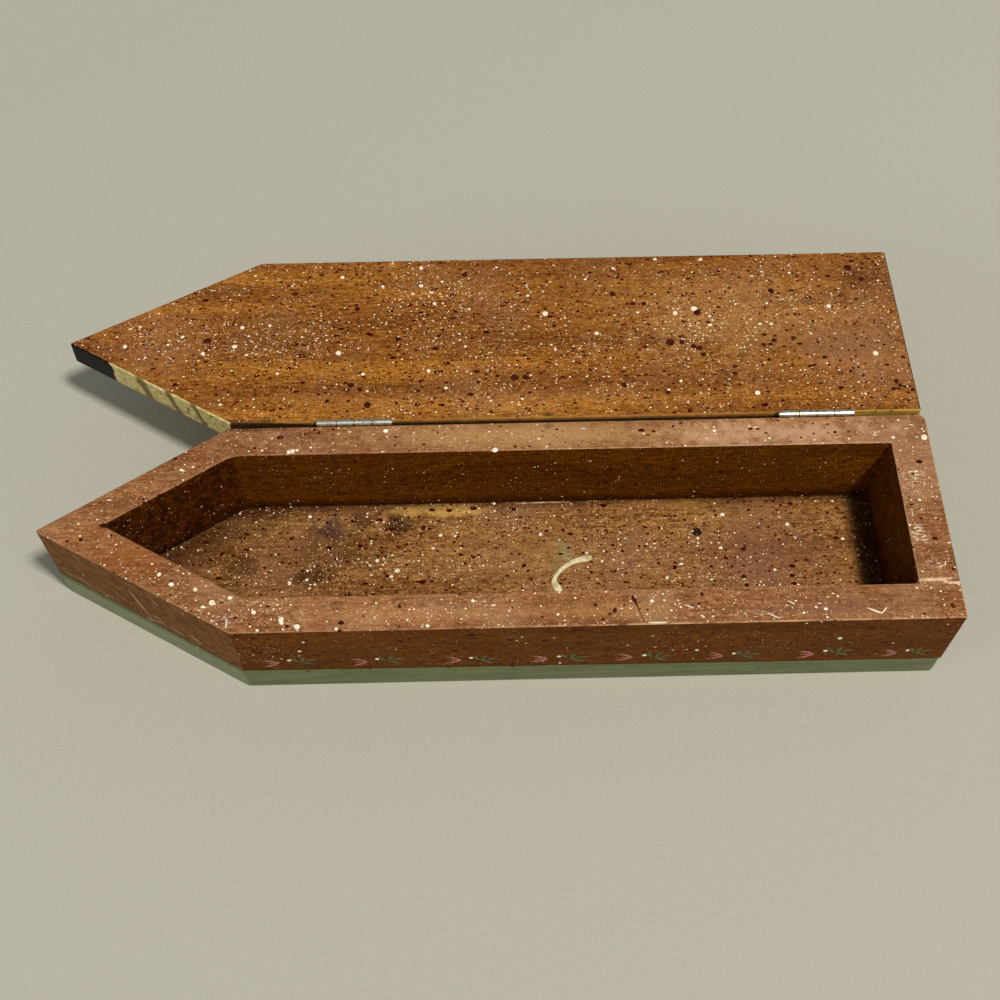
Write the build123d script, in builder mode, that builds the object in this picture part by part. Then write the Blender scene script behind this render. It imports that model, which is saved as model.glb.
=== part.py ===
from build123d import *
import math
import os

# Pencil box of stained softwood, cut to the outline of a sharpened pencil.
# A thick block is sawn out like a bandsaw box, a thin board is glued under it, and a
# lid board of the same outline swings on two small butt hinges at the back.
# X runs from the pencil's tip to its square end, Y from the front to the hinges, Z up.
# The lid stands thrown open behind the box, where its hinges stop it.

# Outline that the block, the base and the lid share
length = 298.5
width = 76.2
front_shoulder = 66.0
back_shoulder = 60.5
end_skew = 0.95

# Boards
block_thickness = 32.1
base_thickness = 11.0
lid_thickness = 9.5

# Walls left round the cavity, measured square to each side at the rim
front_bevel_wall = 12.3
front_wall = 12.3
end_wall = 13.2
back_wall = 11.0
back_bevel_wall = 10.3

# Lean of the sawn walls in degrees: the saw table was not quite square
saw_tilt = 3.5

# Corners seen from above, rounded by saw and sandpaper; the cavity's other corners are
# as sharp as two saw cuts that meet
inner_front_round = 6.0
inner_back_round = 11.0
block_edge_round = 0.7
block_back_corner_round = 2.2
base_tip_round = 0.8
base_shoulder_round = 6.0
base_corner_round = 1.8

# Broken long edges
rim_break = 0.4
mouth_break = 0.3
lid_break = 0.5
base_break = 0.4

# Saw kerf through the end wall, where the blade went in, closed again with filler
saw_kerf = 0.9
kerf_from_front = 13.4
kerf_jog = 1.2
kerf_jog_length = 2.0
kerf_jog_from_end = 4.0
end_step = 0.5

# Butt hinges, placed by their distance from the square end
right_hinge_from_end = 37.7
left_hinge_from_end = 195.4
hinge_length = 25.4
end_knuckle = 6.7
knuckle_gap = 0.35
knuckle_radius = 1.4
knuckle_to_wood = 0.2
axis_below_rim = 0.8
leaf_thickness = 0.7
leaf_height = 7.9
pin_radius = 0.6
pin_clearance = 0.05
pin_overhang = 0.3
pin_end_break = 0.15

# Round-headed nails, two in each leaf
nail_radius = 0.65
nail_head_radius = 1.5
nail_length = 8.0
nail_end_radius = 0.35
nail_end_taper = 0.5
nail_spacing = 15.6
nail_from_axis = 5.2
nail_fit = 0.02

# How the lid closes and how far it falls past level when open
lid_seat_gap = 0.2
open_droop = 5.8
stop_clearance = 0.3

# Places that follow from the sizes above
tip_x = -length / 2
end_x = length / 2
front_y = -width / 2
back_y = width / 2
rim_z = base_thickness + block_thickness
kerf_y = front_y + kerf_from_front
axis_offset = knuckle_radius + knuckle_to_wood
leaf_notch = knuckle_radius + knuckle_to_wood
bore_radius = pin_radius + pin_clearance
nail_hole_radius = nail_radius + nail_fit
axis_y = back_y + axis_offset
axis_z = rim_z - axis_below_rim
hinge_places = {
    "left": end_x - left_hinge_from_end,
    "right": end_x - right_hinge_from_end,
}

# Frame of the open lid: origin on the hinge axis, Y away from the box along the lid,
# Z square to the lid's inner face
droop = math.radians(open_droop)
lid_up = Vector(0, math.sin(droop), math.cos(droop))
lid_out = Vector(0, math.cos(droop), -math.sin(droop))
lid_frame = Plane(origin=(0, axis_y, axis_z), x_dir=(1, 0, 0), z_dir=lid_up)
lid_face_drop = axis_below_rim + lid_seat_gap

# The two rows of nail heads come together as the lid opens and stop it, so a head is
# as high as leaves them just apart
leaf_gap = axis_offset * (1 + math.cos(droop)) - nail_from_axis * math.sin(droop)
nail_head_height = (leaf_gap - 2 * leaf_thickness - stop_clearance) / 2

os.makedirs("parts", exist_ok=True)


def outline_corners():
    """Corners of the pencil outline, counter-clockwise from the tip."""
    return [
        Vector(tip_x, 0),
        Vector(tip_x + front_shoulder, front_y),
        Vector(end_x, front_y),
        Vector(end_x - end_skew, back_y),
        Vector(tip_x + back_shoulder, back_y),
    ]


def inset_corners(walls):
    """Corners of the outline after each of its sides has moved in by its own wall."""
    corners = outline_corners()
    sides = []
    for i, wall in enumerate(walls):
        along = (corners[(i + 1) % len(corners)] - corners[i]).normalized()
        inward = Vector(-along.Y, along.X)
        sides.append((corners[i] + inward * wall, along))
    crossings = []
    for i, (start, along) in enumerate(sides):
        last_start, last_along = sides[i - 1]
        between = start - last_start
        slant = last_along.X * along.Y - last_along.Y * along.X
        run = (between.X * along.Y - between.Y * along.X) / slant
        crossings.append(last_start + last_along * run)
    return crossings


def rounded_face(corners, rounds):
    """Face with straight sides, each corner rounded by its own radius or left sharp at 0."""
    with BuildSketch() as face:
        with BuildLine():
            Polyline(*corners, close=True)
        make_face()
        for corner, radius in zip(corners, rounds):
            if radius > 0:
                fillet(face.vertices().sort_by_distance(corner)[0], radius)
    return face.sketch


def kerf_face():
    """Slot that the blade left through the end wall, with the jog at its entry."""
    jog_start = end_x - kerf_jog_from_end - kerf_jog_length
    path = [
        (end_x - 1.5 * end_wall, kerf_y),
        (jog_start, kerf_y),
        (jog_start + kerf_jog_length, kerf_y - kerf_jog),
        (end_x + 0.5 * end_wall, kerf_y - kerf_jog),
    ]
    near_side = [(x, y - saw_kerf / 2) for x, y in path]
    far_side = [(x, y + saw_kerf / 2) for x, y in reversed(path)]
    with BuildSketch() as face:
        with BuildLine():
            Polyline(*near_side, *far_side, close=True)
        make_face()
    return face.sketch


def box_mount_plane(hinge_x):
    """Back face of the block at a hinge: X along the axis, Y down, Z out of the wood."""
    return Plane(origin=(hinge_x, back_y, axis_z), x_dir=(1, 0, 0), z_dir=(0, 1, 0))


def lid_mount_plane(hinge_x):
    """Hinge edge of the open lid, in the same way as the back face of the block."""
    origin = Vector(hinge_x, axis_y, axis_z) + lid_out * axis_offset
    return Plane(origin=origin, x_dir=(-1, 0, 0), z_dir=lid_out * -1)


def nail_places():
    """Both nails of a leaf, in its mounting plane."""
    return Locations((-nail_spacing / 2, nail_from_axis), (nail_spacing / 2, nail_from_axis))


def make_leaf(mount):
    """Pressed leaf: a plate on the wood and two of the four knuckles round the pin."""
    middle_knuckle = hinge_length / 2 - end_knuckle
    half = hinge_length / 2
    own_spans = [
        (-half, -half + end_knuckle - knuckle_gap / 2),
        (knuckle_gap / 2, middle_knuckle - knuckle_gap / 2),
    ]
    with BuildPart() as leaf:
        with BuildSketch(mount):
            with Locations((0, (leaf_notch + leaf_height) / 2)):
                Rectangle(hinge_length, leaf_height - leaf_notch)
            with nail_places():
                Circle(nail_hole_radius, mode=Mode.SUBTRACT)
        extrude(amount=leaf_thickness)
        for start, end in own_spans:
            # the leaf rises a little to clear the other board's wood under its knuckle
            with BuildSketch(mount.offset(knuckle_to_wood)):
                with Locations(((start + end) / 2, leaf_notch / 2 + leaf_thickness / 2)):
                    Rectangle(end - start, leaf_notch + leaf_thickness)
            extrude(amount=leaf_thickness)
            centre = mount.from_local_coords((start, 0, axis_offset))
            with BuildSketch(Plane(origin=centre, z_dir=mount.x_dir)):
                Circle(knuckle_radius)
            extrude(amount=end - start)
        bore_start = mount.from_local_coords((-half, 0, axis_offset))
        with BuildSketch(Plane(origin=bore_start, z_dir=mount.x_dir)):
            Circle(bore_radius)
        extrude(amount=hinge_length, mode=Mode.SUBTRACT)
    return leaf


def make_nails(mount):
    """Two round-headed nails, driven through a leaf into the wood."""
    taper_start = nail_length - nail_end_taper
    with BuildPart() as nails:
        for side in (-1, 1):
            under_head = mount.from_local_coords(
                (side * nail_spacing / 2, nail_from_axis, leaf_thickness)
            )
            nail_plane = Plane(origin=under_head, x_dir=mount.x_dir, z_dir=mount.y_dir * -1)
            with BuildSketch(nail_plane):
                with BuildLine():
                    TangentArc((0, nail_head_height), (nail_head_radius, 0), tangent=(1, 0))
                    Polyline(
                        (nail_head_radius, 0),
                        (nail_radius, 0),
                        (nail_radius, -taper_start),
                        (nail_end_radius, -nail_length),
                        (0, -nail_length),
                        (0, nail_head_height),
                    )
                make_face()
            revolve(axis=Axis(origin=under_head, direction=mount.z_dir))
    return nails


def drill_nail_holes(mount):
    """Holes that the nails of one leaf made, cut from the piece being built."""
    with BuildSketch(mount) as holes:
        with nail_places():
            Circle(nail_hole_radius)
    extrude(holes.sketch, amount=-(nail_length - leaf_thickness), mode=Mode.SUBTRACT)


def make_pin(hinge_x):
    """Pin through all four knuckles, its ends broken."""
    pin_length = hinge_length + 2 * pin_overhang
    start = Vector(hinge_x - pin_length / 2, axis_y, axis_z)
    with BuildPart() as pin:
        with BuildSketch(Plane(origin=start, z_dir=(1, 0, 0))):
            Circle(pin_radius)
        extrude(amount=pin_length)
        chamfer(pin.edges().filter_by(GeomType.CIRCLE), pin_end_break)
    return pin


# Cavity, its walls sawn to the rim's outline and leaning in towards the floor
cavity_walls = [front_bevel_wall, front_wall, end_wall, back_wall, back_bevel_wall]
cavity_rounds = [0, inner_front_round, 0, 0, inner_back_round]
with BuildPart() as cavity:
    with BuildSketch(Plane.XY.offset(base_thickness)):
        add(rounded_face(inset_corners(cavity_walls), cavity_rounds))
    extrude(amount=block_thickness)
    sawn_walls = cavity.faces().sort_by(Axis.Z)[1:-1]
    draft(sawn_walls, Plane.XY.offset(rim_z), -saw_tilt)

# Block before its kerf: the outline, the step in its end face and the cavity
block_rounds = [block_edge_round] * 5
block_rounds[3] = block_back_corner_round
with BuildPart() as whole_block:
    with BuildSketch(Plane.XY.offset(base_thickness)):
        add(rounded_face(outline_corners(), block_rounds))
    extrude(amount=block_thickness)
    chamfer(whole_block.faces().sort_by(Axis.Z)[-1].edges(), rim_break)
    # the end wall was dressed back behind the kerf, so the front wall stands proud
    with BuildSketch(Plane.XY.offset(base_thickness)):
        with Locations((end_x - end_step, kerf_y - kerf_jog)):
            Rectangle(end_wall, width, align=(Align.MIN, Align.MIN))
    extrude(amount=block_thickness, mode=Mode.SUBTRACT)
    add(cavity.part, mode=Mode.SUBTRACT)
    chamfer(whole_block.faces().sort_by(Axis.Z)[-1].inner_wires()[0].edges(), mouth_break)

with BuildPart() as body_block:
    add(whole_block.part)
    with BuildSketch(Plane.XY.offset(base_thickness)):
        add(kerf_face())
    extrude(amount=block_thickness, mode=Mode.SUBTRACT)
    for hinge_x in hinge_places.values():
        drill_nail_holes(box_mount_plane(hinge_x))
body_block.part.label = "body_block"
export_step(body_block.part, "parts/body_block.step")

# Filler that glues the kerf shut, flush with the block all round
with BuildPart() as kerf_filler:
    add(whole_block.part)
    with BuildSketch(Plane.XY.offset(base_thickness)):
        add(kerf_face())
    extrude(amount=block_thickness, mode=Mode.INTERSECT)
kerf_filler.part.label = "kerf_filler"
export_step(kerf_filler.part, "parts/kerf_filler.step")

# Base board, glued under the block, its corners rounder than the block's
base_rounds = [
    base_tip_round,
    base_shoulder_round,
    base_corner_round,
    base_corner_round,
    base_shoulder_round,
]
with BuildPart() as base_board:
    with BuildSketch():
        add(rounded_face(outline_corners(), base_rounds))
    extrude(amount=base_thickness)
    chamfer(base_board.faces().sort_by(Axis.Z)[0].edges(), base_break)
base_board.part.label = "base_board"
export_step(base_board.part, "parts/base_board.step")

# Lid board: the same outline turned over about the hinge axis
lid_corners = [Vector(c.X, axis_offset + back_y - c.Y) for c in reversed(outline_corners())]
with BuildPart() as lid_board:
    with BuildSketch(lid_frame.offset(-lid_face_drop)):
        add(rounded_face(lid_corners, [block_edge_round] * 5))
    extrude(amount=-lid_thickness)
    faces_by_height = lid_board.faces().sort_by(Axis(origin=(0, 0, 0), direction=lid_up))
    chamfer(faces_by_height[0].edges() + faces_by_height[-1].edges(), lid_break)
    for hinge_x in hinge_places.values():
        drill_nail_holes(lid_mount_plane(hinge_x))
lid_board.part.label = "lid_board"
export_step(lid_board.part, "parts/lid_board.step")

# Hinges
for side, hinge_x in hinge_places.items():
    pieces = {
        "box_leaf": make_leaf(box_mount_plane(hinge_x)),
        "lid_leaf": make_leaf(lid_mount_plane(hinge_x)),
        "pin": make_pin(hinge_x),
        "box_nails": make_nails(box_mount_plane(hinge_x)),
        "lid_nails": make_nails(lid_mount_plane(hinge_x)),
    }
    for piece_name, piece in pieces.items():
        piece.part.label = f"{side}_hinge_{piece_name}"
        export_step(piece.part, f"parts/{side}_hinge_{piece_name}.step")
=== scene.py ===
import math

import bmesh
import bpy
from mathutils import Matrix, Vector


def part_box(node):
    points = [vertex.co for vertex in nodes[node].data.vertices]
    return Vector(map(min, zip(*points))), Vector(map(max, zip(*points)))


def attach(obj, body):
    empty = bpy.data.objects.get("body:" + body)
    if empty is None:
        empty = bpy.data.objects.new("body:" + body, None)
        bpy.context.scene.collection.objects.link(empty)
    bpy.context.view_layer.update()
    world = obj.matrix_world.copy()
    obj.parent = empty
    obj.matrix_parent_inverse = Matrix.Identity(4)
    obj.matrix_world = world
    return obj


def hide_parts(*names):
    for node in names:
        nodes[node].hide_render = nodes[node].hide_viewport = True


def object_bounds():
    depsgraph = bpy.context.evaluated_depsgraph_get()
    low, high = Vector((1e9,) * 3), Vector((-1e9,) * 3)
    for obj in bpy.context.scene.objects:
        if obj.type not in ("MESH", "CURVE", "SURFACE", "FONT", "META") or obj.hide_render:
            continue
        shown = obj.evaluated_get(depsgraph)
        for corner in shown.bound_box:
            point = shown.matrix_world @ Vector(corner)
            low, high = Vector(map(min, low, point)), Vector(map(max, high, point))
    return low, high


# Pencil-shaped wooden box, its lid thrown open: stained and paint-spattered boards, a sage
# green edge to the base, a painted sprig border, the lid's edge painted as a pencil.
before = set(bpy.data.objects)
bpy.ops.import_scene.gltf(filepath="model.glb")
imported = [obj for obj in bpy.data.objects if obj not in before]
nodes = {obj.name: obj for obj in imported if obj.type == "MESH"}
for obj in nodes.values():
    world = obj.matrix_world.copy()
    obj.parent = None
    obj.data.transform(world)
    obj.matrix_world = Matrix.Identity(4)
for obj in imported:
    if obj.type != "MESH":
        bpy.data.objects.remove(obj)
cad_low, cad_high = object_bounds()
MM = 0.001


def colour(code):
    """Linear colour of an sRGB hex value."""
    parts = [int(code[i : i + 2], 16) / 255 for i in (1, 3, 5)]
    linear = [part / 12.92 if part <= 0.04045 else ((part + 0.055) / 1.055) ** 2.4 for part in parts]
    return (*linear, 1.0)


def add(tree, kind, inputs=None, out=None, **settings):
    """Adds a node with its settings and links, and returns one of its outputs.

    A kind without Node in its name is a shader node, and every mix is one of colours.
    """
    node = tree.nodes.new(kind if "Node" in kind else "ShaderNode" + kind)
    if kind == "Mix":
        node.data_type = "RGBA"
    for setting, value in settings.items():
        setattr(node, setting, value)
    live = [socket for socket in node.inputs if socket.enabled]
    if isinstance(inputs, dict):
        by_name = {socket.name: socket for socket in reversed(live)}
        pairs = [(by_name[label], value) for label, value in inputs.items()]
    else:
        pairs = list(zip(live, inputs or []))
    for socket, value in pairs:
        if isinstance(value, bpy.types.NodeSocket):
            tree.links.new(value, socket)
        elif isinstance(value, str) and value.startswith("#"):
            socket.default_value = colour(value)
        else:
            socket.default_value = value
    shown = [socket for socket in node.outputs if socket.enabled]
    if not shown:
        return None
    return shown[0] if out is None else next(socket for socket in shown if socket.name == out)


# Measures of the real object in millimetres that the frame doesn't hold
SAW_PITCH = 0.95  # one tooth mark
LAP_HEIGHT = 1.75  # green paint over the joint
LEAD_LENGTH = 15.8
CONE_LENGTH = 64.0  # lead and bare wood together
PENCIL_FACE = 25.4  # width of one of the pencil's three faces

# Places, read from the frame
block_low, block_high = (Vector(corner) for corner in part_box("body_block"))
base_high = Vector(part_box("base_board")[1])
lid_low = Vector(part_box("lid_board")[0])
FLOOR_HEIGHT = base_high.z / MM


def flat_face(node, towards):
    """Largest face of a CAD node that looks one way."""
    aim = Vector(towards)
    faces = [face for face in nodes[node].data.polygons if face.normal.dot(aim) > 0.97]
    return max(faces, key=lambda face: face.area)


lid_up = flat_face("lid_board", (0, 0, 1)).normal.copy()
lid_out = Vector((0, lid_up.z, -lid_up.y))
lid_points = [vertex.co for vertex in nodes["lid_board"].data.vertices]
lid_heights = [point.dot(lid_up) for point in lid_points]
lid_outs = [point.dot(lid_out) for point in lid_points]
lid_face = lid_up * max(lid_heights) + lid_out * min(lid_outs)
bevel_face = flat_face("body_block", (-0.5, -0.866, 0))


# Each of these gives a point in metres from two places on a surface and a height above it, in
# millimetres.
def on_lid(x, out, up=0.0):
    """Lid's inner face: along the box, and out from the hinge edge."""
    return Vector((x * MM, 0, 0)) + lid_face + lid_out * out * MM + lid_up * up * MM


def on_rim(x, y, up=0.0):
    """Top of the block."""
    return Vector((x * MM, y * MM, block_high.z + up * MM))


def on_floor(x, y, up=0.0):
    """Floor of the cavity."""
    return Vector((x * MM, y * MM, base_high.z + up * MM))


def on_front(x, z, up=0.0):
    """Front of the block."""
    return Vector((x * MM, block_low.y - up * MM, z * MM))


def on_bevel(x, z, up=0.0):
    """Slanting front of the block, left of the shoulder."""
    normal, centre = bevel_face.normal, bevel_face.center
    y = centre.y - normal.x * (x * MM - centre.x) / normal.y
    return Vector((x * MM, y, z * MM)) + normal * up * MM


scene = bpy.context.scene


def into_scene(name, data):
    """New object of some data, linked into the scene."""
    item = bpy.data.objects.new(name, data)
    scene.collection.objects.link(item)
    return item


def settled_mesh(draft):
    """Mesh that an object's modifiers or curves make; the object itself goes."""
    graph = bpy.context.evaluated_depsgraph_get()
    mesh = bpy.data.meshes.new_from_object(draft.evaluated_get(graph))
    bpy.data.objects.remove(draft)
    return mesh


def finished_piece(name, mesh, body):
    """New piece that rides on a body."""
    piece = into_scene(name, mesh)
    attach(piece, body)
    return piece


# Camera and light
camera = into_scene("camera", bpy.data.cameras.new("camera"))
camera.location = (-0.00288, -0.2264, 0.4550)
camera.rotation_euler = (math.radians(29.64), 0, math.radians(-1.37))
camera.data.lens = 51.78
camera.data.sensor_width = 36
camera.data.clip_start = 0.01
scene.camera = camera
scene.view_settings.view_transform = "Standard"

scene.world = bpy.data.worlds.new("room")
scene.world.use_nodes = True
scene.world.node_tree.nodes.clear()
sky = add(scene.world.node_tree, "Background", {"Color": "#F4F5F2", "Strength": 0.27})
add(scene.world.node_tree, "OutputWorld", {"Surface": sky})


def lamp(name, place, aim, size, power, tint):
    """Square soft light at a place, aimed at a point."""
    data = bpy.data.lights.new(name, "AREA")
    data.size = size
    data.energy = power
    data.color = colour(tint)[:3]
    item = into_scene(name, data)
    item.location = place
    item.rotation_mode = "QUATERNION"
    item.rotation_quaternion = (Vector(aim) - Vector(place)).to_track_quat("-Z", "Y")


lamp("ceiling_light", (1.35, -1.15, 4.0), (0, 0.02, 0), 0.48, 158, "#FFFAF2")
lamp("window_light", (-2.4, -1.1, 0.9), (-0.05, 0, 0.02), 1.2, 12, "#FFFFFF")


# Finishes. Every pattern is in millimetres of object coordinates.
def new_finish(name, **constants):
    """New material with its tree, shader, place in millimetres and facing."""
    material = bpy.data.materials.new(name)
    material.use_nodes = True
    tree = material.node_tree
    tree.nodes.clear()
    surface = add(tree, "BsdfPrincipled")
    shader = surface.node
    for socket, value in constants.items():
        shader.inputs[socket.replace("_", " ")].default_value = value
    add(tree, "OutputMaterial", {"Surface": surface})
    metres = add(tree, "TexCoord", out="Object")
    facing = metres.node.outputs["Normal"]
    place = add(tree, "VectorMath", {"Vector": metres, "Scale": 1 / MM}, operation="SCALE")
    return material, tree, shader, place, facing


def finish_surface(tree, shader, paint, relief, rough):
    """Joins a colour, a relief in millimetres and a roughness to the shader."""
    bump = add(tree, "Bump", {"Strength": 1.0, "Distance": MM, "Height": relief})
    tree.links.new(paint, shader.inputs["Base Color"])
    tree.links.new(rough, shader.inputs["Roughness"])
    tree.links.new(bump, shader.inputs["Normal"])


def drawn_noise(tree, place, scale, detail, roughness=0.5):
    """Noise drawn out along one axis, as grain and brush marks are."""
    drawn = add(tree, "Mapping", {"Vector": place, "Scale": scale})
    return add(tree, "TexNoise", {"Vector": drawn, "Scale": 1.0, "Detail": detail, "Roughness": roughness})


def specks(tree, place, cell, size, share, seed, stretch=(1, 1, 1)):
    """Mask of round specks up to `size` in radius, one in some of the cells of `cell`."""
    spot = add(
        tree, "Mapping", {"Vector": place, "Location": (seed, seed * 1.7, seed * 2.3), "Scale": stretch}
    )
    away = add(tree, "TexVoronoi", {"Vector": spot, "Scale": 1 / cell}, "Distance")
    chance = add(tree, "SeparateColor", [away.node.outputs["Color"]], "Red")
    chosen = add(tree, "Math", [chance, share], operation="LESS_THAN")
    girth = add(
        tree,
        "MapRange",
        {"Value": chance.node.outputs["Green"], "To Min": 0.3 * size / cell, "To Max": size / cell},
    )
    depth = add(tree, "Math", [girth, away], operation="SUBTRACT")
    dot = add(tree, "MapRange", {"Value": depth, "From Max": 0.1 * size / cell})
    return add(tree, "Math", [dot, chosen], operation="MULTIPLY")


def clouds(tree, place, scale, low, high, least):
    """Slow change over the board in how thickly something lies."""
    slow = add(tree, "TexNoise", {"Vector": place, "Scale": scale, "Detail": 3.0})
    return add(tree, "MapRange", {"Value": slow, "From Min": low, "From Max": high, "To Min": least})


def spatter(tree, place, ground, relief, maroon_share, cream_share, heavy):
    """Fly-speck spatter flicked off a brush: a maroon one, then a cream one over it."""
    wobble = add(tree, "TexNoise", {"Vector": place, "Scale": 1.4}, "Color")
    pushed = add(tree, "VectorMath", {"Vector": wobble, "Scale": 0.55}, operation="SCALE")
    uneven = add(tree, "VectorMath", [place, pushed], operation="ADD")
    maroon = clouds(tree, place, 0.06, 0.30, 0.62, 0.35)
    cream = clouds(tree, place, 0.045, 0.38, 0.68, 0.15)
    for centre, spread, weight in heavy:
        patched = patch(tree, place, centre, spread, 0.9, 0.4)
        cream = add(tree, "Math", [patched, weight, cream], operation="MULTIPLY_ADD")
    # paint, cell, radius of its largest drops, share of cells that hold one, stretch, seed,
    # where it lies thick, and its height above the wood
    layers = [
        ("#58220A", 0.75, 0.25, 1.00, (0.8, 1, 1), 11.0, maroon, 0.0),
        ("#4A1202", 1.7, 0.56, 0.85, (0.72, 1, 1), 23.0, maroon, 0.0),
        ("#400C00", 3.6, 0.86, 0.64, (0.62, 1, 1), 37.0, maroon, 0.04),
        ("#E8C094", 0.62, 0.21, 0.95, (0.9, 1, 1), 71.0, cream, 0.0),
        ("#FFE8C4", 1.2, 0.36, 0.90, (0.8, 1, 1), 83.0, cream, 0.05),
        ("#FFF2D8", 2.8, 0.56, 0.40, (0.78, 1, 1), 5.0, cream, 0.08),
        ("#FFF8E6", 8.0, 0.95, 0.32, (0.82, 1, 1), 53.0, cream, 0.10),
    ]
    for paint, cell, radius, share, stretch, seed, thick, height in layers:
        amount = maroon_share if thick is maroon else cream_share
        local = add(tree, "Math", [thick, share * amount], operation="MULTIPLY")
        dot = specks(tree, uneven, cell, radius, local, seed, stretch)
        ground = add(tree, "Mix", [dot, ground, paint])
        if height:
            relief = add(tree, "Math", [dot, height, relief], operation="MULTIPLY_ADD")
    return ground, relief


def board(tree, place, tones, pith, ring_gap, mottle):
    """Softwood under a wiped stain: soft bands, late-wood lines, fibres and blotches."""
    dark, middle, light, pale, haze = tones
    bands = drawn_noise(tree, place, (0.007, 0.10, 0.10), 3.0)
    banded = add(tree, "MapRange", {"Value": bands, "From Min": 0.34, "From Max": 0.66})
    wood = add(tree, "Mix", [banded, middle, light])
    # the year rings are wide rings about the heart of the log, seen as lines along the grain
    swayed = drawn_noise(tree, place, (0.012, 0.05, 0.05), 2.0)
    shift = add(tree, "Math", [swayed, 16.0], operation="MULTIPLY")
    across = add(
        tree, "VectorMath", [place, (0.0, 1.0, 1.0), (0.0, -pith[0], -pith[1])], operation="MULTIPLY_ADD"
    )
    away = add(tree, "VectorMath", [across], "Value", operation="LENGTH")
    rings = add(tree, "Math", [away, shift], operation="ADD")
    turns = add(tree, "Math", [rings, ring_gap], operation="DIVIDE")
    phase = add(tree, "Math", [turns], operation="FRACT")
    late = add(
        tree,
        "MapRange",
        {"Value": phase, "From Min": 0.45, "From Max": 0.95, "To Max": 0.24},
        interpolation_type="SMOOTHSTEP",
    )
    wood = add(tree, "Mix", [late, wood, dark])
    # stain sits deeper in the open fibres
    fibres = drawn_noise(tree, place, (0.09, 2.6, 2.6), 4.0, 0.65)
    open_fibre = add(tree, "MapRange", {"Value": fibres, "From Min": 0.50, "From Max": 0.66, "To Max": 0.7})
    wood = add(tree, "Mix", [open_fibre, wood, dark])
    # pores hold stain too, drawn as dark dashes of about half a millimetre
    pores = drawn_noise(tree, place, (1.1, 2.2, 2.2), 2.0)
    filled = add(
        tree, "MapRange", {"Value": pores, "From Min": 0.50, "From Max": 0.60, "To Max": 0.8 * mottle}
    )
    wood = add(tree, "Mix", [filled, wood, dark])
    # blotches where the stain was wiped, and fine flecks where it dried
    blotch = drawn_noise(tree, place, (0.34, 0.85, 0.85), 6.0, 0.8)
    blotched = add(
        tree, "MapRange", {"Value": blotch, "From Min": 0.49, "From Max": 0.63, "To Max": mottle}
    )
    wood = add(tree, "Mix", [blotched, wood, dark])
    spared = add(tree, "MapRange", {"Value": blotch, "From Min": 0.47, "From Max": 0.33, "To Max": 0.65})
    wood = add(tree, "Mix", [spared, wood, pale])
    worn = add(tree, "TexNoise", {"Vector": place, "Scale": 0.035, "Detail": 5.0})
    dusty = add(tree, "MapRange", {"Value": worn, "From Min": 0.48, "From Max": 0.70, "To Max": 0.55})
    wood = add(tree, "Mix", [dusty, wood, haze])
    relief = add(tree, "Math", [fibres, -0.05], operation="MULTIPLY")
    relief = add(tree, "Math", [late, 0.04, relief], operation="MULTIPLY_ADD")
    return wood, relief


def stained_wood(name, tones, pith, ring_gap=5.5, mottle=0.5, maroon=1.0, cream=1.0, extras=(), heavy=()):
    """Pine under an oil stain and spatter, waxed to a low sheen."""
    material, tree, shader, place, facing = new_finish(name, Specular_IOR_Level=0.04)
    paint, relief = board(tree, place, tones, pith, ring_gap, mottle)
    for extra in extras:
        coats, rises = extra(tree, place, facing)
        for share, coat in coats:
            paint = add(tree, "Mix", [share, paint, coat])
        for rise, height in rises:
            relief = add(tree, "Math", [rise, height, relief], operation="MULTIPLY_ADD")
    paint, relief = spatter(tree, place, paint, relief, maroon, cream, heavy)
    sheen = add(tree, "TexNoise", {"Vector": place, "Scale": 0.3, "Detail": 4.0})
    rough = add(tree, "MapRange", {"Value": sheen, "To Min": 0.42, "To Max": 0.68})
    finish_surface(tree, shader, paint, relief, rough)
    return material


def patch(tree, place, centre, spread, soften=0.5, ragged=0.5):
    """Mask of a soft blot about a centre, `spread` millimetres wide each way."""
    rag = add(tree, "TexNoise", {"Vector": place, "Scale": 0.22, "Detail": 5.0}, "Color")
    offset = add(tree, "VectorMath", [rag, (-0.5, -0.5, -0.5)], operation="ADD")
    frayed = add(
        tree,
        "VectorMath",
        [offset, [ragged * 2.4 * reach for reach in spread], place],
        operation="MULTIPLY_ADD",
    )
    local = add(tree, "VectorMath", [frayed, centre], operation="SUBTRACT")
    shrunk = add(tree, "VectorMath", [local, spread], operation="DIVIDE")
    reach = add(tree, "VectorMath", [shrunk], "Value", operation="LENGTH")
    return add(
        tree,
        "MapRange",
        {"Value": reach, "From Min": 1.0, "From Max": 1.0 - soften},
        interpolation_type="SMOOTHSTEP",
    )


# Each function below that stained_wood takes among its extras gives the coats that it lays,
# as pairs of share and colour, and what it raises, as pairs of mask and height.
def blot(centre, spread, paint, strength, soften=0.6, ragged=0.5):
    """Blot of another colour on a board, for stained_wood."""

    def lay(tree, place, facing):
        mask = patch(tree, place, centre, spread, soften, ragged)
        share = add(tree, "Math", [mask, strength], operation="MULTIPLY")
        return [(share, paint)], []

    return lay


SAGE = "#757C54"
SAGE_SHADE = "#616844"


def facing_bevel(tree, facing):
    """Mask of the two slanting sides of the point, which hands have rubbed and where the paler paint is
    partly painted light.
    """
    flank = add(tree, "SeparateXYZ", [facing])
    return add(tree, "MapRange", {"Value": flank, "From Min": -0.2, "From Max": -0.4})


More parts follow.
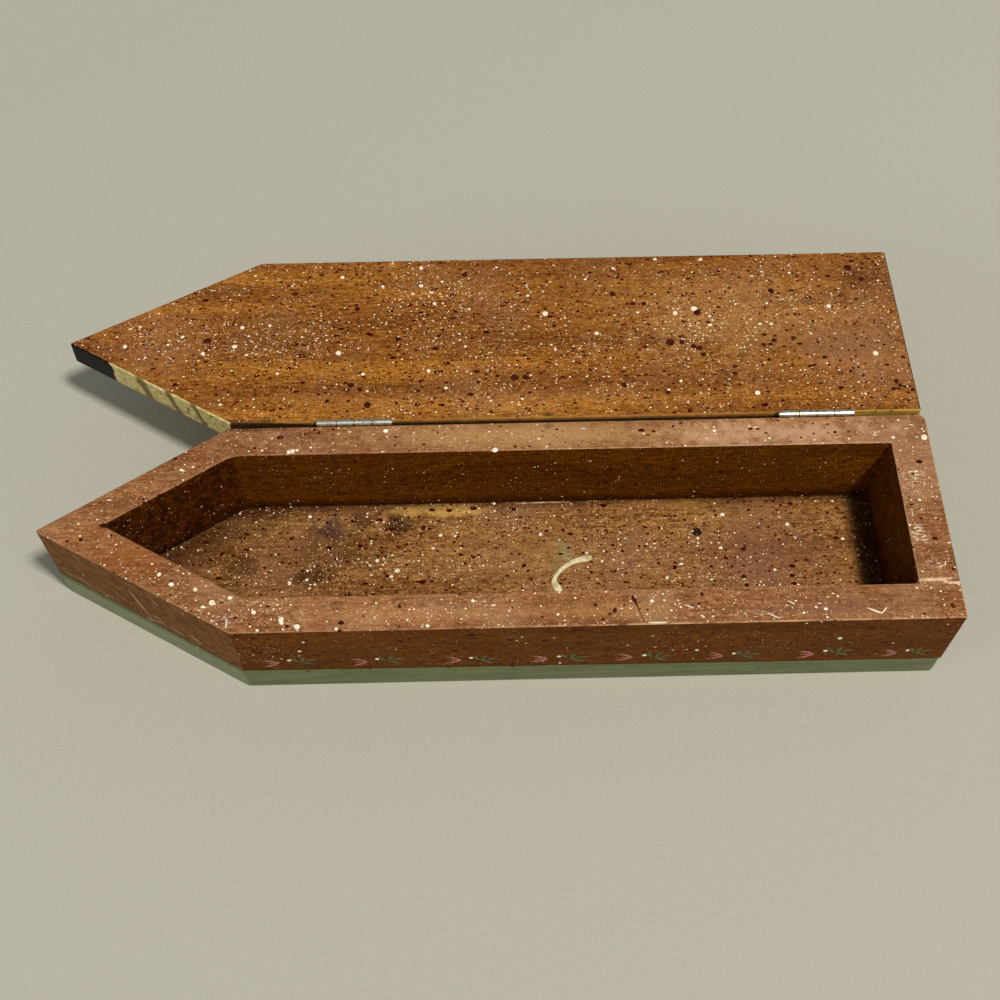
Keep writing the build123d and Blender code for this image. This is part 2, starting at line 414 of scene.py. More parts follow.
def dusty_and_lit_bevel(tree, place, facing):
    """Rubbed and dusty stain on the slanting sides, lighter there, partly as painted light on them."""
    flank = facing_bevel(tree, facing)
    worn = add(tree, "TexNoise", {"Vector": place, "Scale": 0.3, "Detail": 6.0})
    cloudy = add(
        tree,
        "MapRange",
        {"Value": worn, "From Min": 0.38, "From Max": 0.62, "To Min": 0.15, "To Max": 0.75},
    )
    share = add(tree, "Math", [flank, cloudy], operation="MULTIPLY")
    return [(share, "#946840")], []


def scuffs_and_glints(centre, spread, strength):
    """Place rubbed to pale flecks and short streaks along the grain, partly painted glints, for
    stained_wood.
    """

    def lay(tree, place, facing):
        mask = patch(tree, place, centre, spread, 0.9, 0.5)
        streaks = drawn_noise(tree, place, (0.45, 1.7, 1.7), 5.0, 0.75)
        low = add(tree, "MapRange", {"Value": mask, "To Min": 0.78, "To Max": 0.53})
        above = add(tree, "Math", [streaks, low], operation="SUBTRACT")
        fleck = add(tree, "MapRange", {"Value": above, "From Max": 0.05, "To Max": strength})
        return [(fleck, "#FBE6CC")], []

    return lay


def dark_bevels(tree, place, facing):
    """Inner walls at both ends, where the stain stood thickest, most of all at the point."""
    sideways = add(tree, "SeparateXYZ", [facing])
    wander = add(tree, "TexNoise", {"Vector": place, "Scale": 0.35, "Detail": 5.0})
    cloudy = add(
        tree,
        "MapRange",
        {"Value": wander, "From Min": 0.35, "From Max": 0.6, "To Min": 0.25, "To Max": 0.85},
    )
    turned = add(tree, "MapRange", {"Value": sideways, "From Min": 0.1, "From Max": 0.4})
    ended = add(tree, "MapRange", {"Value": sideways, "From Min": -0.5, "From Max": -0.9, "To Max": 0.5})
    both = add(tree, "Math", [turned, ended], operation="ADD")
    share = add(tree, "Math", [both, cloudy], operation="MULTIPLY")
    return [(share, "#2A0A04")], []


def worn_and_highlit_edges(tree, place, facing):
    """Broken edges rubbed pale, with gaps where the stain held, and partly a painted highlight along them.
    """
    up = add(tree, "SeparateXYZ", [facing], "Z")
    slanting = add(tree, "MapRange", {"Value": up, "From Min": 0.97, "From Max": 0.85})
    rub = add(tree, "TexNoise", {"Vector": place, "Scale": 0.25, "Detail": 5.0})
    rubbed = add(
        tree, "MapRange", {"Value": rub, "From Min": 0.35, "From Max": 0.55, "To Min": 0.1, "To Max": 0.8}
    )
    # hands took hold at the right, and the painted highlight is stronger there, so the left keeps more of
    # its stain
    x = add(tree, "SeparateXYZ", [place])
    handled = add(tree, "MapRange", {"Value": x, "From Min": -20.0, "From Max": 60.0, "To Min": 0.3})
    worn = add(tree, "Math", [slanting, rubbed], operation="MULTIPLY")
    share = add(tree, "Math", [worn, handled], operation="MULTIPLY")
    return [(share, "#D2A67C")], []


def saw_ridges(tree, place, facing):
    """Upright washboard left by the saw blade, about a millimetre a tooth mark."""
    tangent = add(tree, "VectorMath", [facing, (0.0, 0.0, 1.0)], operation="CROSS_PRODUCT")
    along = add(tree, "VectorMath", [place, tangent], "Value", operation="DOT_PRODUCT")
    drift = add(tree, "TexNoise", {"Vector": place, "Scale": 0.06, "Detail": 3.0})
    drifted = add(tree, "Math", [drift, 5.0, along], operation="MULTIPLY_ADD")
    turns = add(tree, "Math", [drifted, 2 * math.pi / SAW_PITCH], operation="MULTIPLY")
    wave = add(tree, "Math", [turns], operation="SINE")
    x = add(tree, "SeparateXYZ", [place])
    strength = add(
        tree, "MapRange", {"Value": x, "From Min": -50.0, "From Max": 10.0, "To Min": 0.25, "To Max": 1.15}
    )
    ridge = add(tree, "Math", [wave, strength], operation="MULTIPLY")
    shade = add(tree, "MapRange", {"Value": ridge, "From Min": 0.9, "From Max": -0.9, "To Max": 0.4})
    return [(shade, "#1E0A04")], [(ridge, 0.06)]


def green_lap(tree, place, facing):
    """Green edge paint that laps up over the joint, more at the shoulder than at the end, with a painted
    shadow line above it.
    """
    spot = add(tree, "SeparateXYZ", [place], "Z")
    x = spot.node.outputs["X"]
    hand = add(tree, "TexNoise", {"Vector": place, "Scale": 0.08, "Detail": 2.0})
    wavy = add(tree, "Math", [hand, 0.7, spot], operation="MULTIPLY_ADD")
    lifted = add(tree, "Math", [x, 0.0115, wavy], operation="MULTIPLY_ADD")
    line = FLOOR_HEIGHT + LAP_HEIGHT
    painted = add(tree, "MapRange", {"Value": lifted, "From Min": line + 0.2, "From Max": line - 0.2})
    # a dark band just above the paint line: a painted shadow line
    above = add(
        tree, "MapRange", {"Value": lifted, "From Min": line + 1.1, "From Max": line + 0.5, "To Max": 0.75}
    )
    return [(above, "#2A1206"), (painted, SAGE)], []


def dark_foot(tree, place, facing):
    """Darker towards the foot of each wall: stain and dust gathered there, and partly painted shade in the
    corner.
    """
    height = add(tree, "SeparateXYZ", [place], "Z")
    low = add(
        tree,
        "MapRange",
        {"Value": height, "From Min": FLOOR_HEIGHT + 7, "From Max": FLOOR_HEIGHT, "To Max": 0.7},
        interpolation_type="SMOOTHSTEP",
    )
    return [(low, "#1C0A04")], []


def floor_edges(tree, place, facing):
    """Darker floor along the back wall and the slanting walls, where stain pooled, partly painted shade of
    the corners, and a painted shadow by the end wall.
    """
    spot = add(tree, "SeparateXYZ", [place], "Y")
    x = spot.node.outputs["X"]
    wander = add(tree, "TexNoise", {"Vector": place, "Scale": 0.12, "Detail": 5.0})
    reach = add(tree, "Math", [wander, 5.0, spot], operation="MULTIPLY_ADD")
    back = add(tree, "MapRange", {"Value": reach, "From Min": 23.0, "From Max": 28.5, "To Max": 0.85})
    folded = add(tree, "Math", [spot], operation="ABSOLUTE")
    slanted = add(tree, "Math", [wander, -14.0, folded], operation="MULTIPLY_ADD")
    near = add(tree, "Math", [x, -0.6, slanted], operation="MULTIPLY_ADD")
    tip = add(tree, "MapRange", {"Value": near, "From Min": 50.0, "From Max": 66.0, "To Max": 0.75})
    # painted shadow that the end wall casts on the floor
    end = add(tree, "MapRange", {"Value": x, "From Min": 124.0, "From Max": 130.0, "To Max": 0.85})
    return [(share, "#2A1006") for share in (back, tip, end)], []


def dashes(tree, place, facing):
    """Cream dashes thrown off a loaded brush, lying aslant the grain."""
    thrown = add(tree, "Mapping", {"Vector": place, "Rotation": (0, 0, 0.55), "Scale": (0.42, 1.25, 1.0)})
    dash = specks(tree, thrown, 2.4, 0.42, 0.14, 19.0)
    return [(dash, "#F4E4CC")], [(dash, 0.08)]


# Pine, planed and stained a pinkish brown, rubbed paler by hands along its edges, with painted highlights
# on the edges and painted glints in rubbed places
rim_wood = stained_wood(
    "stained_pine_rim",
    ("#562A10", "#94603A", "#AC784C", "#C0966C", "#AA8060"),
    (12, -70),
    extras=(
        worn_and_highlit_edges,
        dashes,
        scuffs_and_glints((140, 12, 43), (10, 14, 4), 0.8),
        scuffs_and_glints((138, -8, 43), (8, 10, 4), 0.75),
        scuffs_and_glints((144, -19, 43), (8, 6, 4), 0.95),
        scuffs_and_glints((-85, -33, 43), (12, 6, 4), 0.6),
        scuffs_and_glints((-63, -35, 43), (16, 4, 4), 0.4),
        scuffs_and_glints((84, -35, 43), (22, 4, 4), 0.6),
        scuffs_and_glints((112, 26, 43), (26, 4, 4), 0.6),
        blot((-86, 37.4, 43), (30, 1.3, 3), "#3A2618", 0.7, 0.7, 0.6),
        blot((-66, 34, 43), (12, 4, 4), "#5A3A28", 0.35, 0.9, 0.8),
        blot((-126.4, 1.4, 43), (2.4, 1.0, 2), "#140804", 0.95, 0.3, 0.15),
        blot((40, -33, 43), (34, 5, 4), "#B88A50", 0.4, 0.9, 0.5),
        blot((102, -34, 43), (30, 3, 4), "#7C5648", 0.4, 0.9, 0.7),
        blot((95, 32, 43), (55, 8, 4), "#D2A580", 0.65, 0.9, 0.9),
        blot((5, 33, 43), (80, 8, 4), "#BC9460", 0.6, 0.9, 0.4),
        blot((20, 36.6, 43), (2.4, 1.8, 2), "#6A4E2C", 0.6, 0.6, 0.4),
        blot((-20, -33, 43), (60, 5, 4), "#BC8A5C", 0.4, 0.9, 0.5),
        blot((-118, -10, 43), (24, 14, 4), "#9A5C2A", 0.45, 0.9, 0.8),
    ),
    heavy=(
        ((-76, -29, 43), (24, 8, 8), 1.5),
        ((-122, 0, 43), (34, 26, 8), -0.3),
        ((-20, -32, 43), (40, 6, 8), 0.9),
        ((60, -33, 43), (40, 5, 8), 0.9),
        ((141, 5, 43), (10, 20, 8), 1.1),
    ),
    mottle=0.6,
    maroon=0.3,
    cream=0.6,
)
# The same pine outside, where stain and handling left it darker
outer_wood = stained_wood(
    "stained_pine_outside",
    ("#2E1200", "#6C3A08", "#804608", "#8C5418", "#6C4014"),
    pith=(-120, 20),
    mottle=0.55,
    maroon=0.5,
    cream=0.06,
    extras=(dusty_and_lit_bevel, green_lap),
    heavy=(((-76, -38, 28), (16, 8, 12), 7.0), ((80, -38, 28), (60, 8, 12), 1.6)),
)
# Bandsawn pine inside, rough and drinking the stain, so darker than the planed faces
sawn_wood = stained_wood(
    "bandsawn_pine_walls",
    ("#2A0C00", "#7C4206", "#98580A", "#A46418", "#6C3808"),
    pith=(90, 8),
    ring_gap=7,
    mottle=0.7,
    maroon=0.5,
    cream=0.14,
    extras=(saw_ridges, dark_bevels, dark_foot),
)
# Planed base board as the cavity's floor: worn, smudged, stain pooled along the walls with painted shade,
# and a painted shadow by the end wall
floor_wood = stained_wood(
    "stained_pine_floor",
    ("#3C1C04", "#9A6632", "#B88446", "#D2A46C", "#94684A"),
    pith=(-5, -45),
    ring_gap=4.5,
    mottle=0.7,
    maroon=1.7,
    cream=0.6,
    extras=(
        blot((8, 2, 11), (48, 16, 5), "#B08254", 0.35, 0.9, 0.6),
        blot((-54, 8, 11), (30, 16, 5), "#553418", 0.55, 0.9, 0.7),
        blot((-18, 22.5, 11), (22, 3.2, 3), "#DCAE5C", 0.8),
        blot((62, 23.5, 11), (18, 2.2, 3), "#B98A48", 0.7),
        blot((94, 2, 11), (44, 20, 3), "#784C40", 0.5, 0.9, 0.6),
        scuffs_and_glints((74, -13, 11), (34, 4, 3), 0.35),
        floor_edges,
        blot((-33, 17, 11), (8, 5, 5), "#2C1408", 0.8),
        blot((-45, 18.5, 11), (6, 4, 5), "#3A1C0C", 0.6),
        blot((-57, 16, 11), (7, 6, 5), "#42302A", 0.75),
        blot((-62, -3, 11), (9, 5, 5), "#3A2014", 0.65),
        blot((-87, 2, 11), (8, 7, 5), "#3C2010", 0.6),
        blot((25.2, 4.6, 11), (5.2, 5.4, 4), "#8F8A58", 0.65, 0.7, 0.5),
        blot((21.6, -1.0, 11), (2.2, 4.4, 4), "#847A48", 0.5, 0.7, 0.4),
        blot((71.9, 11.6, 11), (2.0, 1.8, 2), "#100B0A", 0.95, 0.2, 0.1),
    ),
    heavy=(((-25, 0, 11), (45, 10, 8), 0.9), ((90, -8, 11), (30, 5, 8), 1.2)),
)
# Lid board inside, the same stain brushed thin, so orange streaks show through
lid_wood = stained_wood(
    "stained_pine_lid",
    ("#4E2406", "#8C5422", "#BC7A2C", "#CE944C", "#8E603C"),
    pith=(60, -40),
    ring_gap=8,
    mottle=0.65,
    maroon=1.7,
    cream=0.85,
    extras=(
        blot(on_lid(-118, 34) / MM, (26, 24, 20), "#A06C44", 0.5, 0.9, 0.8),
        blot(on_lid(-92, 0.6) / MM, (34, 1.5, 3), "#33210F", 0.75, 0.7, 0.6),
        blot(on_lid(85, 45) / MM, (60, 30, 20), "#C29054", 0.4, 0.9, 0.9),
        blot(on_lid(10, 9) / MM, (105, 8, 6), "#C68E52", 0.22, 0.9, 0.5),
        blot(on_lid(132, 28) / MM, (30, 30, 26), "#A07454", 0.5, 0.9, 0.6),
        blot(on_lid(20, 0.8) / MM, (2.6, 1.8, 2), "#3E2C14", 0.7, 0.6, 0.5),
        blot(on_lid(140, 62) / MM, (14, 12, 12), "#4A2410", 0.55, 0.9, 0.8),
        blot(on_lid(-66, 30) / MM, (4, 1.6, 2), "#3A1208", 0.7, 0.6, 0.8),
    ),
    heavy=(
        (on_lid(-70, 38) / MM, (36, 16, 14), 0.9),
        (on_lid(-20, 58) / MM, (30, 14, 12), 0.7),
        (on_lid(75, 35) / MM, (34, 16, 14), 0.35),
        (on_lid(125, 48) / MM, (20, 18, 14), 0.5),
    ),
)
# Bare underneath, the stain wiped on once and dulled by the table
under_wood = stained_wood(
    "stained_pine_underside",
    ("#4A260C", "#8A5A2C", "#9C6C36", "#B08850", "#7C5838"),
    pith=(20, 60),
    maroon=0.0,
    cream=0.0,
)


def sage_paint(name):
    """Satin craft enamel in sage green, brushed on, rubbed and grubby at its edges; the slanting sides are
    partly painted light.
    """
    material, tree, shader, place, facing = new_finish(name, Specular_IOR_Level=0.25)
    strokes = drawn_noise(tree, place, (0.05, 0.8, 0.9), 5.0)
    toned = add(tree, "MapRange", {"Value": strokes, "From Min": 0.35, "From Max": 0.65})
    paint = add(tree, "Mix", [toned, SAGE_SHADE, SAGE])
    grime = add(tree, "TexNoise", {"Vector": place, "Scale": 0.2, "Detail": 6.0})
    dirty = add(tree, "MapRange", {"Value": grime, "From Min": 0.55, "From Max": 0.75, "To Max": 0.5})
    paint = add(tree, "Mix", [dirty, paint, "#545437"])
    # the slanting sides are made paler: rubbed paint, and partly painted light
    flank = facing_bevel(tree, facing)
    rubbed = add(tree, "Math", [flank, 0.4], operation="MULTIPLY")
    paint = add(tree, "Mix", [rubbed, paint, "#A2A888"])
    relief = add(tree, "Math", [strokes, 0.04], operation="MULTIPLY")
    rough = add(tree, "MapRange", {"Value": grime, "To Min": 0.38, "To Max": 0.6})
    finish_surface(tree, shader, paint, relief, rough)
    return material


def pencil_paint(name):
    """Brushed craft paints that turn the lid into a pencil: lead, sharpened cone, lacquer."""
    material, tree, shader, place, facing = new_finish(name, Specular_IOR_Level=0.1)
    tip = lid_low.x / MM
    lead_end = tip + LEAD_LENGTH
    cone_end = tip + CONE_LENGTH
    spot = add(tree, "SeparateXYZ", [place], "X")
    strokes = drawn_noise(tree, place, (0.06, 0.9, 0.9), 5.0)
    hand = add(tree, "TexNoise", {"Vector": place, "Scale": 0.35, "Detail": 2.0})
    wandering = add(tree, "Math", [hand, 1.6, spot], operation="MULTIPLY_ADD")
    toned = add(tree, "MapRange", {"Value": strokes, "From Min": 0.35, "From Max": 0.65})
    cone = add(tree, "Mix", [toned, "#C8B870", "#E6D696"])
    body = add(tree, "Mix", [toned, "#A88434", "#C49C46"])
    # three scallops where the lacquer meets the cone, one to each face of the pencil
    scallop = add(tree, "Math", [spot.node.outputs["Y"], math.pi / PENCIL_FACE], operation="MULTIPLY")
    arched = add(tree, "Math", [scallop], operation="SINE")
    arch = add(tree, "Math", [arched], operation="ABSOLUTE")
    outline = add(tree, "Math", [arch, 4.0, wandering], operation="MULTIPLY_ADD")
    lacquered = add(
        tree, "MapRange", {"Value": outline, "From Min": cone_end - 0.2, "From Max": cone_end + 0.2}
    )
    # depth below the lid's inner face, so that marks on the edge can lean
    below = add(tree, "VectorMath", [place, lid_up], "Value", operation="DOT_PRODUCT")
    depth = add(tree, "Math", [max(lid_heights) / MM, below], operation="SUBTRACT")
    swing = add(tree, "Math", [depth, 0.65], operation="MULTIPLY")
    swung = add(tree, "Math", [swing], operation="SINE")
    sloped = add(tree, "Math", [depth, -0.18, wandering], operation="MULTIPLY_ADD")
    curved = add(tree, "Math", [swung, -0.7, sloped], operation="MULTIPLY_ADD")
    lead = add(tree, "MapRange", {"Value": curved, "From Min": lead_end + 0.2, "From Max": lead_end - 0.2})
    # three strokes of brown stand for the whittled wood's shadows, each so far from the tip
    leaning = add(tree, "Math", [depth, -0.32, wandering], operation="MULTIPLY_ADD")
    for mark, width in ((27.2, 2.2), (37.8, 1.9), (47.2, 1.6)):
        aside = add(tree, "Math", [leaning, tip + mark], operation="SUBTRACT")
        away = add(tree, "Math", [aside], operation="ABSOLUTE")
        struck = add(
            tree, "MapRange", {"Value": away, "From Min": width, "From Max": 0.35 * width, "To Max": 0.85}
        )
        cone = add(tree, "Mix", [struck, cone, "#5E4A22"])
    # stain laps over the hinge edge, apart from its right end, with grime and painted shade of the gap
    # under it
    towards_hinge = add(tree, "VectorMath", [facing, -lid_out], "Value", operation="DOT_PRODUCT")
    turned = add(tree, "MapRange", {"Value": towards_hinge, "From Min": 0.35, "From Max": 0.6})
    leftward = add(
        tree, "MapRange", {"Value": wandering, "From Min": 118.0, "From Max": 108.0, "To Max": 0.92}
    )
    sideways = add(tree, "SeparateXYZ", [facing])
    straight = add(tree, "MapRange", {"Value": sideways, "From Min": -0.3, "From Max": -0.15})
    hinged = add(tree, "Math", [turned, straight], operation="MULTIPLY")
    behind = add(tree, "Math", [hinged, leftward], operation="MULTIPLY")
    lapping = add(
        tree, "MapRange", {"Value": wandering, "From Min": -76.0, "From Max": -58.0, "To Max": 1.5}
    )
    wavering = add(tree, "Math", [hand, 0.8, depth], operation="MULTIPLY_ADD")
    under = add(tree, "Math", [wavering, lapping], operation="SUBTRACT")
    deep = add(tree, "MapRange", {"Value": under, "From Min": 0.2, "From Max": 0.6})
    grime_and_shade = add(tree, "Math", [behind, deep], operation="MULTIPLY")
    chipping = add(tree, "TexNoise", {"Vector": place, "Scale": 0.5, "Detail": 6.0})
    chipped = add(tree, "MapRange", {"Value": chipping, "From Min": 0.66, "From Max": 0.68})
    soiled = add(tree, "MapRange", {"Value": chipping, "From Min": 0.46, "From Max": 0.62, "To Max": 0.45})
    cloudy_stain = add(tree, "Mix", [soiled, "#AE763C", "#6A3C18"])
    stain = add(tree, "Mix", [toned, cloudy_stain, "#8A5828"])
    # a dark line runs round the far edges, next to the inner face
    beyond = add(tree, "MapRange", {"Value": towards_hinge, "From Min": 0.3, "From Max": 0.1})
    near_top = add(tree, "MapRange", {"Value": depth, "From Min": 1.4, "From Max": 0.9, "To Max": 0.9})
    lined = add(tree, "Math", [beyond, near_top], operation="MULTIPLY")
    paint = add(tree, "Mix", [lacquered, cone, body])
    for share, coat in (
        (soiled, "#8A6C30"),
        (chipped, "#6A4420"),
        (behind, stain),
        (grime_and_shade, "#2C2010"),
        (lead, "#080807"),
        (lined, "#1A140C"),
    ):
        paint = add(tree, "Mix", [share, paint, coat])
    relief = add(tree, "Math", [strokes, 0.05], operation="MULTIPLY")
    rough = add(tree, "MapRange", {"Value": strokes, "To Min": 0.35, "To Max": 0.6})
    finish_surface(tree, shader, paint, relief, rough)
    return material


green_edge = sage_paint("sage_enamel_edge")
pencil_edge = pencil_paint("pencil_enamels")


def plain_paint(name, paint, shade, rough=0.45, grain=0.9):
    """Small touch of craft paint, uneven as a loaded brush leaves it."""
    material, tree, shader, place = new_finish(name, Specular_IOR_Level=0.15)[:4]
    uneven = add(tree, "TexNoise", {"Vector": place, "Scale": grain, "Detail": 5.0})
    share = add(tree, "MapRange", {"Value": uneven, "From Min": 0.42, "From Max": 0.68})
    tone = add(tree, "Mix", [share, paint, shade])
    relief = add(tree, "Math", [uneven, 0.06], operation="MULTIPLY")
    gloss = add(tree, "MapRange", {"Value": uneven, "To Min": rough - 0.1, "To Max": rough + 0.15})
    finish_surface(tree, shader, tone, relief, gloss)
    return material


# Acrylic craft paints, dried matt where thin and half glossy in a drop
cream_paint = plain_paint("cream_acrylic", "#FBF2DC", "#E8D6B0", 0.35)
maroon_paint = plain_paint("maroon_acrylic", "#380C02", "#52180A", 0.6)
pink_paint = plain_paint("dusty_pink_acrylic", "#BC8074", "#7E4238", 0.6, 1.2)
leaf_paint = plain_paint("grey_green_acrylic", "#626C4C", "#40482A", 0.6, 1.2)
vine_paint = plain_paint("umber_acrylic", "#2A2214", "#3C3420", 0.5, 0.6)
pale_paint = plain_paint("pale_cream_acrylic", "#EADDB0", "#B8A878", 0.4, 0.5)
faded_paint = plain_paint("rubbed_cream_acrylic", "#E6D0B0", "#B08C68", 0.6, 0.8)
# Wood filler in the saw kerf, wiped flush and never stained
filler_paste = plain_paint("pale_wood_filler", "#EAC8A6", "#C29470", 0.7)
# White glue and dust that dried where the wall meets the floor
glue_line = plain_paint("dried_glue", "#C9A47C", "#8A6240", 0.6, 0.5)


def worn_metal(name, bright, dull, rough):
    """Nickel-plated steel, scratched along its length and tarnished in patches."""
    material, tree, shader, place = new_finish(name, Metallic=1.0)[:4]
    stain = add(tree, "TexNoise", {"Vector": place, "Scale": 0.8, "Detail": 6.0})
    tarnish = add(tree, "MapRange", {"Value": stain, "From Min": 0.45, "From Max": 0.7})
    tone = add(tree, "Mix", [tarnish, bright, dull])
    scratches = drawn_noise(tree, place, (0.6, 6.0, 6.0), 4.0)
    relief = add(tree, "Math", [scratches, 0.02], operation="MULTIPLY")
    gloss = add(tree, "MapRange", {"Value": stain, "To Min": rough - 0.1, "To Max": rough + 0.2})
    finish_surface(tree, shader, tone, relief, gloss)
    return material


hinge_steel = worn_metal("plated_steel_hinge", "#D8D2C2", "#8E8468", 0.32)
pin_steel = worn_metal("steel_hinge_pin", "#B8B2A4", "#6E6654", 0.38)
nail_steel = worn_metal("steel_nail_head", "#C8BFA8", "#7E7358", 0.35)


def dress_board(node, name, body, finishes, kind_of_face, soften=0.16):
    """CAD board with softened edges and a finish chosen for each of its faces."""
    work = bmesh.new()
    work.from_mesh(nodes[node].data)
    bmesh.ops.remove_doubles(work, verts=work.verts, dist=1e-6)
    bmesh.ops.dissolve_limit(work, angle_limit=math.radians(1), verts=work.verts, edges=work.edges)
    mesh = bpy.data.meshes.new(name)
    work.to_mesh(mesh)
    work.free()
    draft = into_scene(name + "_draft", mesh)
    round_over = draft.modifiers.new("round_over", "BEVEL")
    round_over.width = soften * MM
    round_over.segments = 2
    round_over.limit_method = "ANGLE"
    round_over.angle_limit = math.radians(30)
    round_over.use_clamp_overlap = False
    round_over.harden_normals = True
    for polygon in mesh.polygons:
        polygon.use_smooth = True
    mesh.set_sharp_from_angle(angle=math.radians(28))
    finished = settled_mesh(draft)
    finished.materials.clear()
    for finish in finishes.values():
        finished.materials.append(finish)
    kinds = list(finishes)
    for polygon in finished.polygons:
        polygon.material_index = kinds.index(kind_of_face(polygon))
    piece = finished_piece(name, finished, body)
    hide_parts(node)


def block_face(polygon):
    """Finish of a face of the block: its top, its outer sides or the cavity's walls."""
    outward = polygon.normal.x * polygon.center.x + polygon.normal.y * polygon.center.y
    if polygon.normal.z > 0.3:
        return "rim"
    return "outside" if outward > 0 else "sawn"


def base_face(polygon):
    """Finish of a face of the base board."""
    if abs(polygon.normal.z) > 0.95:
        return "floor" if polygon.normal.z > 0 else "underside"
    return "edge"


def lid_board_face(polygon):
    """Finish of a face of the lid board, whose outside is painted like its edge."""
    return "inside" if polygon.normal.dot(lid_up) > 0.9 else "painted"


dress_board(
    "body_block",
    "dressed_block",
    "box",
    {"rim": rim_wood, "outside": outer_wood, "sawn": sawn_wood},
    block_face,
)
dress_board(
    "base_board",
    "dressed_base",
    "box",
    {"edge": green_edge, "floor": floor_wood, "underside": under_wood},
    base_face,
    soften=0.3,
)
dress_board(
    "lid_board",
    "dressed_lid",
    "lid",
    {"inside": lid_wood, "painted": pencil_edge},
    lid_board_face,
)

finish_of = {"kerf_filler": filler_paste}
for side in ("left", "right"):
    finish_of[f"{side}_hinge_pin"] = pin_steel
    for half in ("box", "lid"):
        finish_of[f"{side}_hinge_{half}_leaf"] = hinge_steel
        finish_of[f"{side}_hinge_{half}_nails"] = nail_steel
for node, finish in finish_of.items():
    nodes[node].data.materials.clear()
    nodes[node].data.materials.append(finish)


def stroke_mesh(name, strokes, thickness):
    """Strokes of thick paint in millimetres, each along points of (along, across, half width)."""
    line = bpy.data.curves.new(name, "CURVE")
    line.dimensions = "3D"
    line.bevel_depth = 1.0
    line.bevel_resolution = 2
    line.resolution_u = 5
    line.use_fill_caps = True
    for stroke in strokes:
        spline = line.splines.new("NURBS")
        spline.points.add(len(stroke) - 1)
        for point, (along, across, half_width) in zip(spline.points, stroke):
            point.co = (along, across, 0, 1)
            point.radius = half_width
        spline.order_u = 3
        spline.use_endpoint_u = True
    mesh = settled_mesh(into_scene(name, line))
    for vertex in mesh.vertices:
        vertex.co.z *= thickness
    for polygon in mesh.polygons:
        polygon.use_smooth = True
    return mesh


def brush_strokes(name, strokes, spot, paint, body, thickness):
    """Strokes of one paint laid on a surface as one piece."""
    mesh = stroke_mesh(name, strokes, thickness)
    for vertex in mesh.vertices:
        vertex.co = spot(*vertex.co)
    mesh.materials.append(paint)
    finished_piece(name, mesh, body)


def touches_tree():
    """Geometry nodes that set one shape at every point, turned and sized by its attributes."""
    tree = bpy.data.node_groups.new("touches_of_paint", "GeometryNodeTree")
    for label, kind in (
        ("Places", "NodeSocketGeometry"),
        ("Shape", "NodeSocketObject"),
        ("Paint", "NodeSocketMaterial"),
        ("Turn", "NodeSocketFloat"),
        ("Unevenness", "NodeSocketFloat"),
        ("Seed", "NodeSocketInt"),
    ):
        tree.interface.new_socket(label, in_out="INPUT", socket_type=kind)
    tree.interface.new_socket("Touches", in_out="OUTPUT", socket_type="NodeSocketGeometry")
    given = add(tree, "NodeGroupInput").node.outputs
    shape = add(tree, "GeometryNodeObjectInfo", {"Object": given["Shape"]}, "Geometry")
    facing = add(tree, "GeometryNodeInputNamedAttribute", {"Name": "facing"}, data_type="QUATERNION")
    size = add(tree, "GeometryNodeInputNamedAttribute", {"Name": "size"}, data_type="FLOAT")
    least = add(tree, "Math", [given["Turn"], -1.0], operation="MULTIPLY")
    turn = add(
        tree,
        "FunctionNodeRandomValue",
        {"Min": least, "Max": given["Turn"], "Seed": given["Seed"]},
        data_type="FLOAT",
    )
    spin = add(tree, "CombineXYZ", {"Z": turn})
    spun = add(tree, "FunctionNodeEulerToRotation", {"Euler": spin})
    turned = add(
        tree, "FunctionNodeRotateRotation", {"Rotation": facing, "Rotate By": spun}, rotation_space="LOCAL"
    )
    smaller = add(tree, "Math", [1.0, given["Unevenness"]], operation="SUBTRACT")
    larger = add(tree, "Math", [1.0, given["Unevenness"]], operation="ADD")
    uneven = add(
        tree,
        "FunctionNodeRandomValue",
        {"Min": smaller, "Max": larger, "Seed": given["Seed"]},
        data_type="FLOAT_VECTOR",
    )
    sized = add(tree, "VectorMath", {"Vector": uneven, "Scale": size}, operation="SCALE")
    placed = add(
        tree,
        "GeometryNodeInstanceOnPoints",
        {"Points": given["Places"], "Instance": shape, "Rotation": turned, "Scale": sized},
    )
    real = add(tree, "GeometryNodeRealizeInstances", {"Geometry": placed})
    painted = add(tree, "GeometryNodeSetMaterial", {"Geometry": real, "Material": given["Paint"]})
    add(tree, "NodeGroupOutput", [painted])
    return tree


touches_of_paint = touches_tree()


def touches(name, places, spot, shape, paint, body, turn, unevenness, seed):
    """One shape repeated at places of (along, across, size) on a surface, as one piece."""
    points = bpy.data.meshes.new(name)
    points.from_pydata([spot(along, across) for along, across, size in places], [], [])
    origin = spot(0, 0)
    axes = [(spot(*step) - origin).normalized() for step in ((1, 0, 0), (0, 1, 0), (0, 0, 1))]
    square = Matrix(axes).transposed().to_quaternion()
    facing = points.attributes.new("facing", "QUATERNION", "POINT")
    for entry in facing.data:
        entry.value = square
    sizes = points.attributes.new("size", "FLOAT", "POINT")
    for entry, (along, across, size) in zip(sizes.data, places):
        entry.value = size * MM
    draft = into_scene(name, points)
    repeat = draft.modifiers.new("touches", "NODES")
    repeat.node_group = touches_of_paint
    sockets = {
        item.name: item.identifier
        for item in touches_of_paint.interface.items_tree
        if item.in_out == "INPUT"
    }
    for label, value in (
        ("Shape", shape),
        ("Paint", paint),
        ("Turn", turn),
        ("Unevenness", unevenness),
        ("Seed", seed),
    ):
        repeat[sockets[label]] = value
    finished_piece(name, settled_mesh(draft), body)


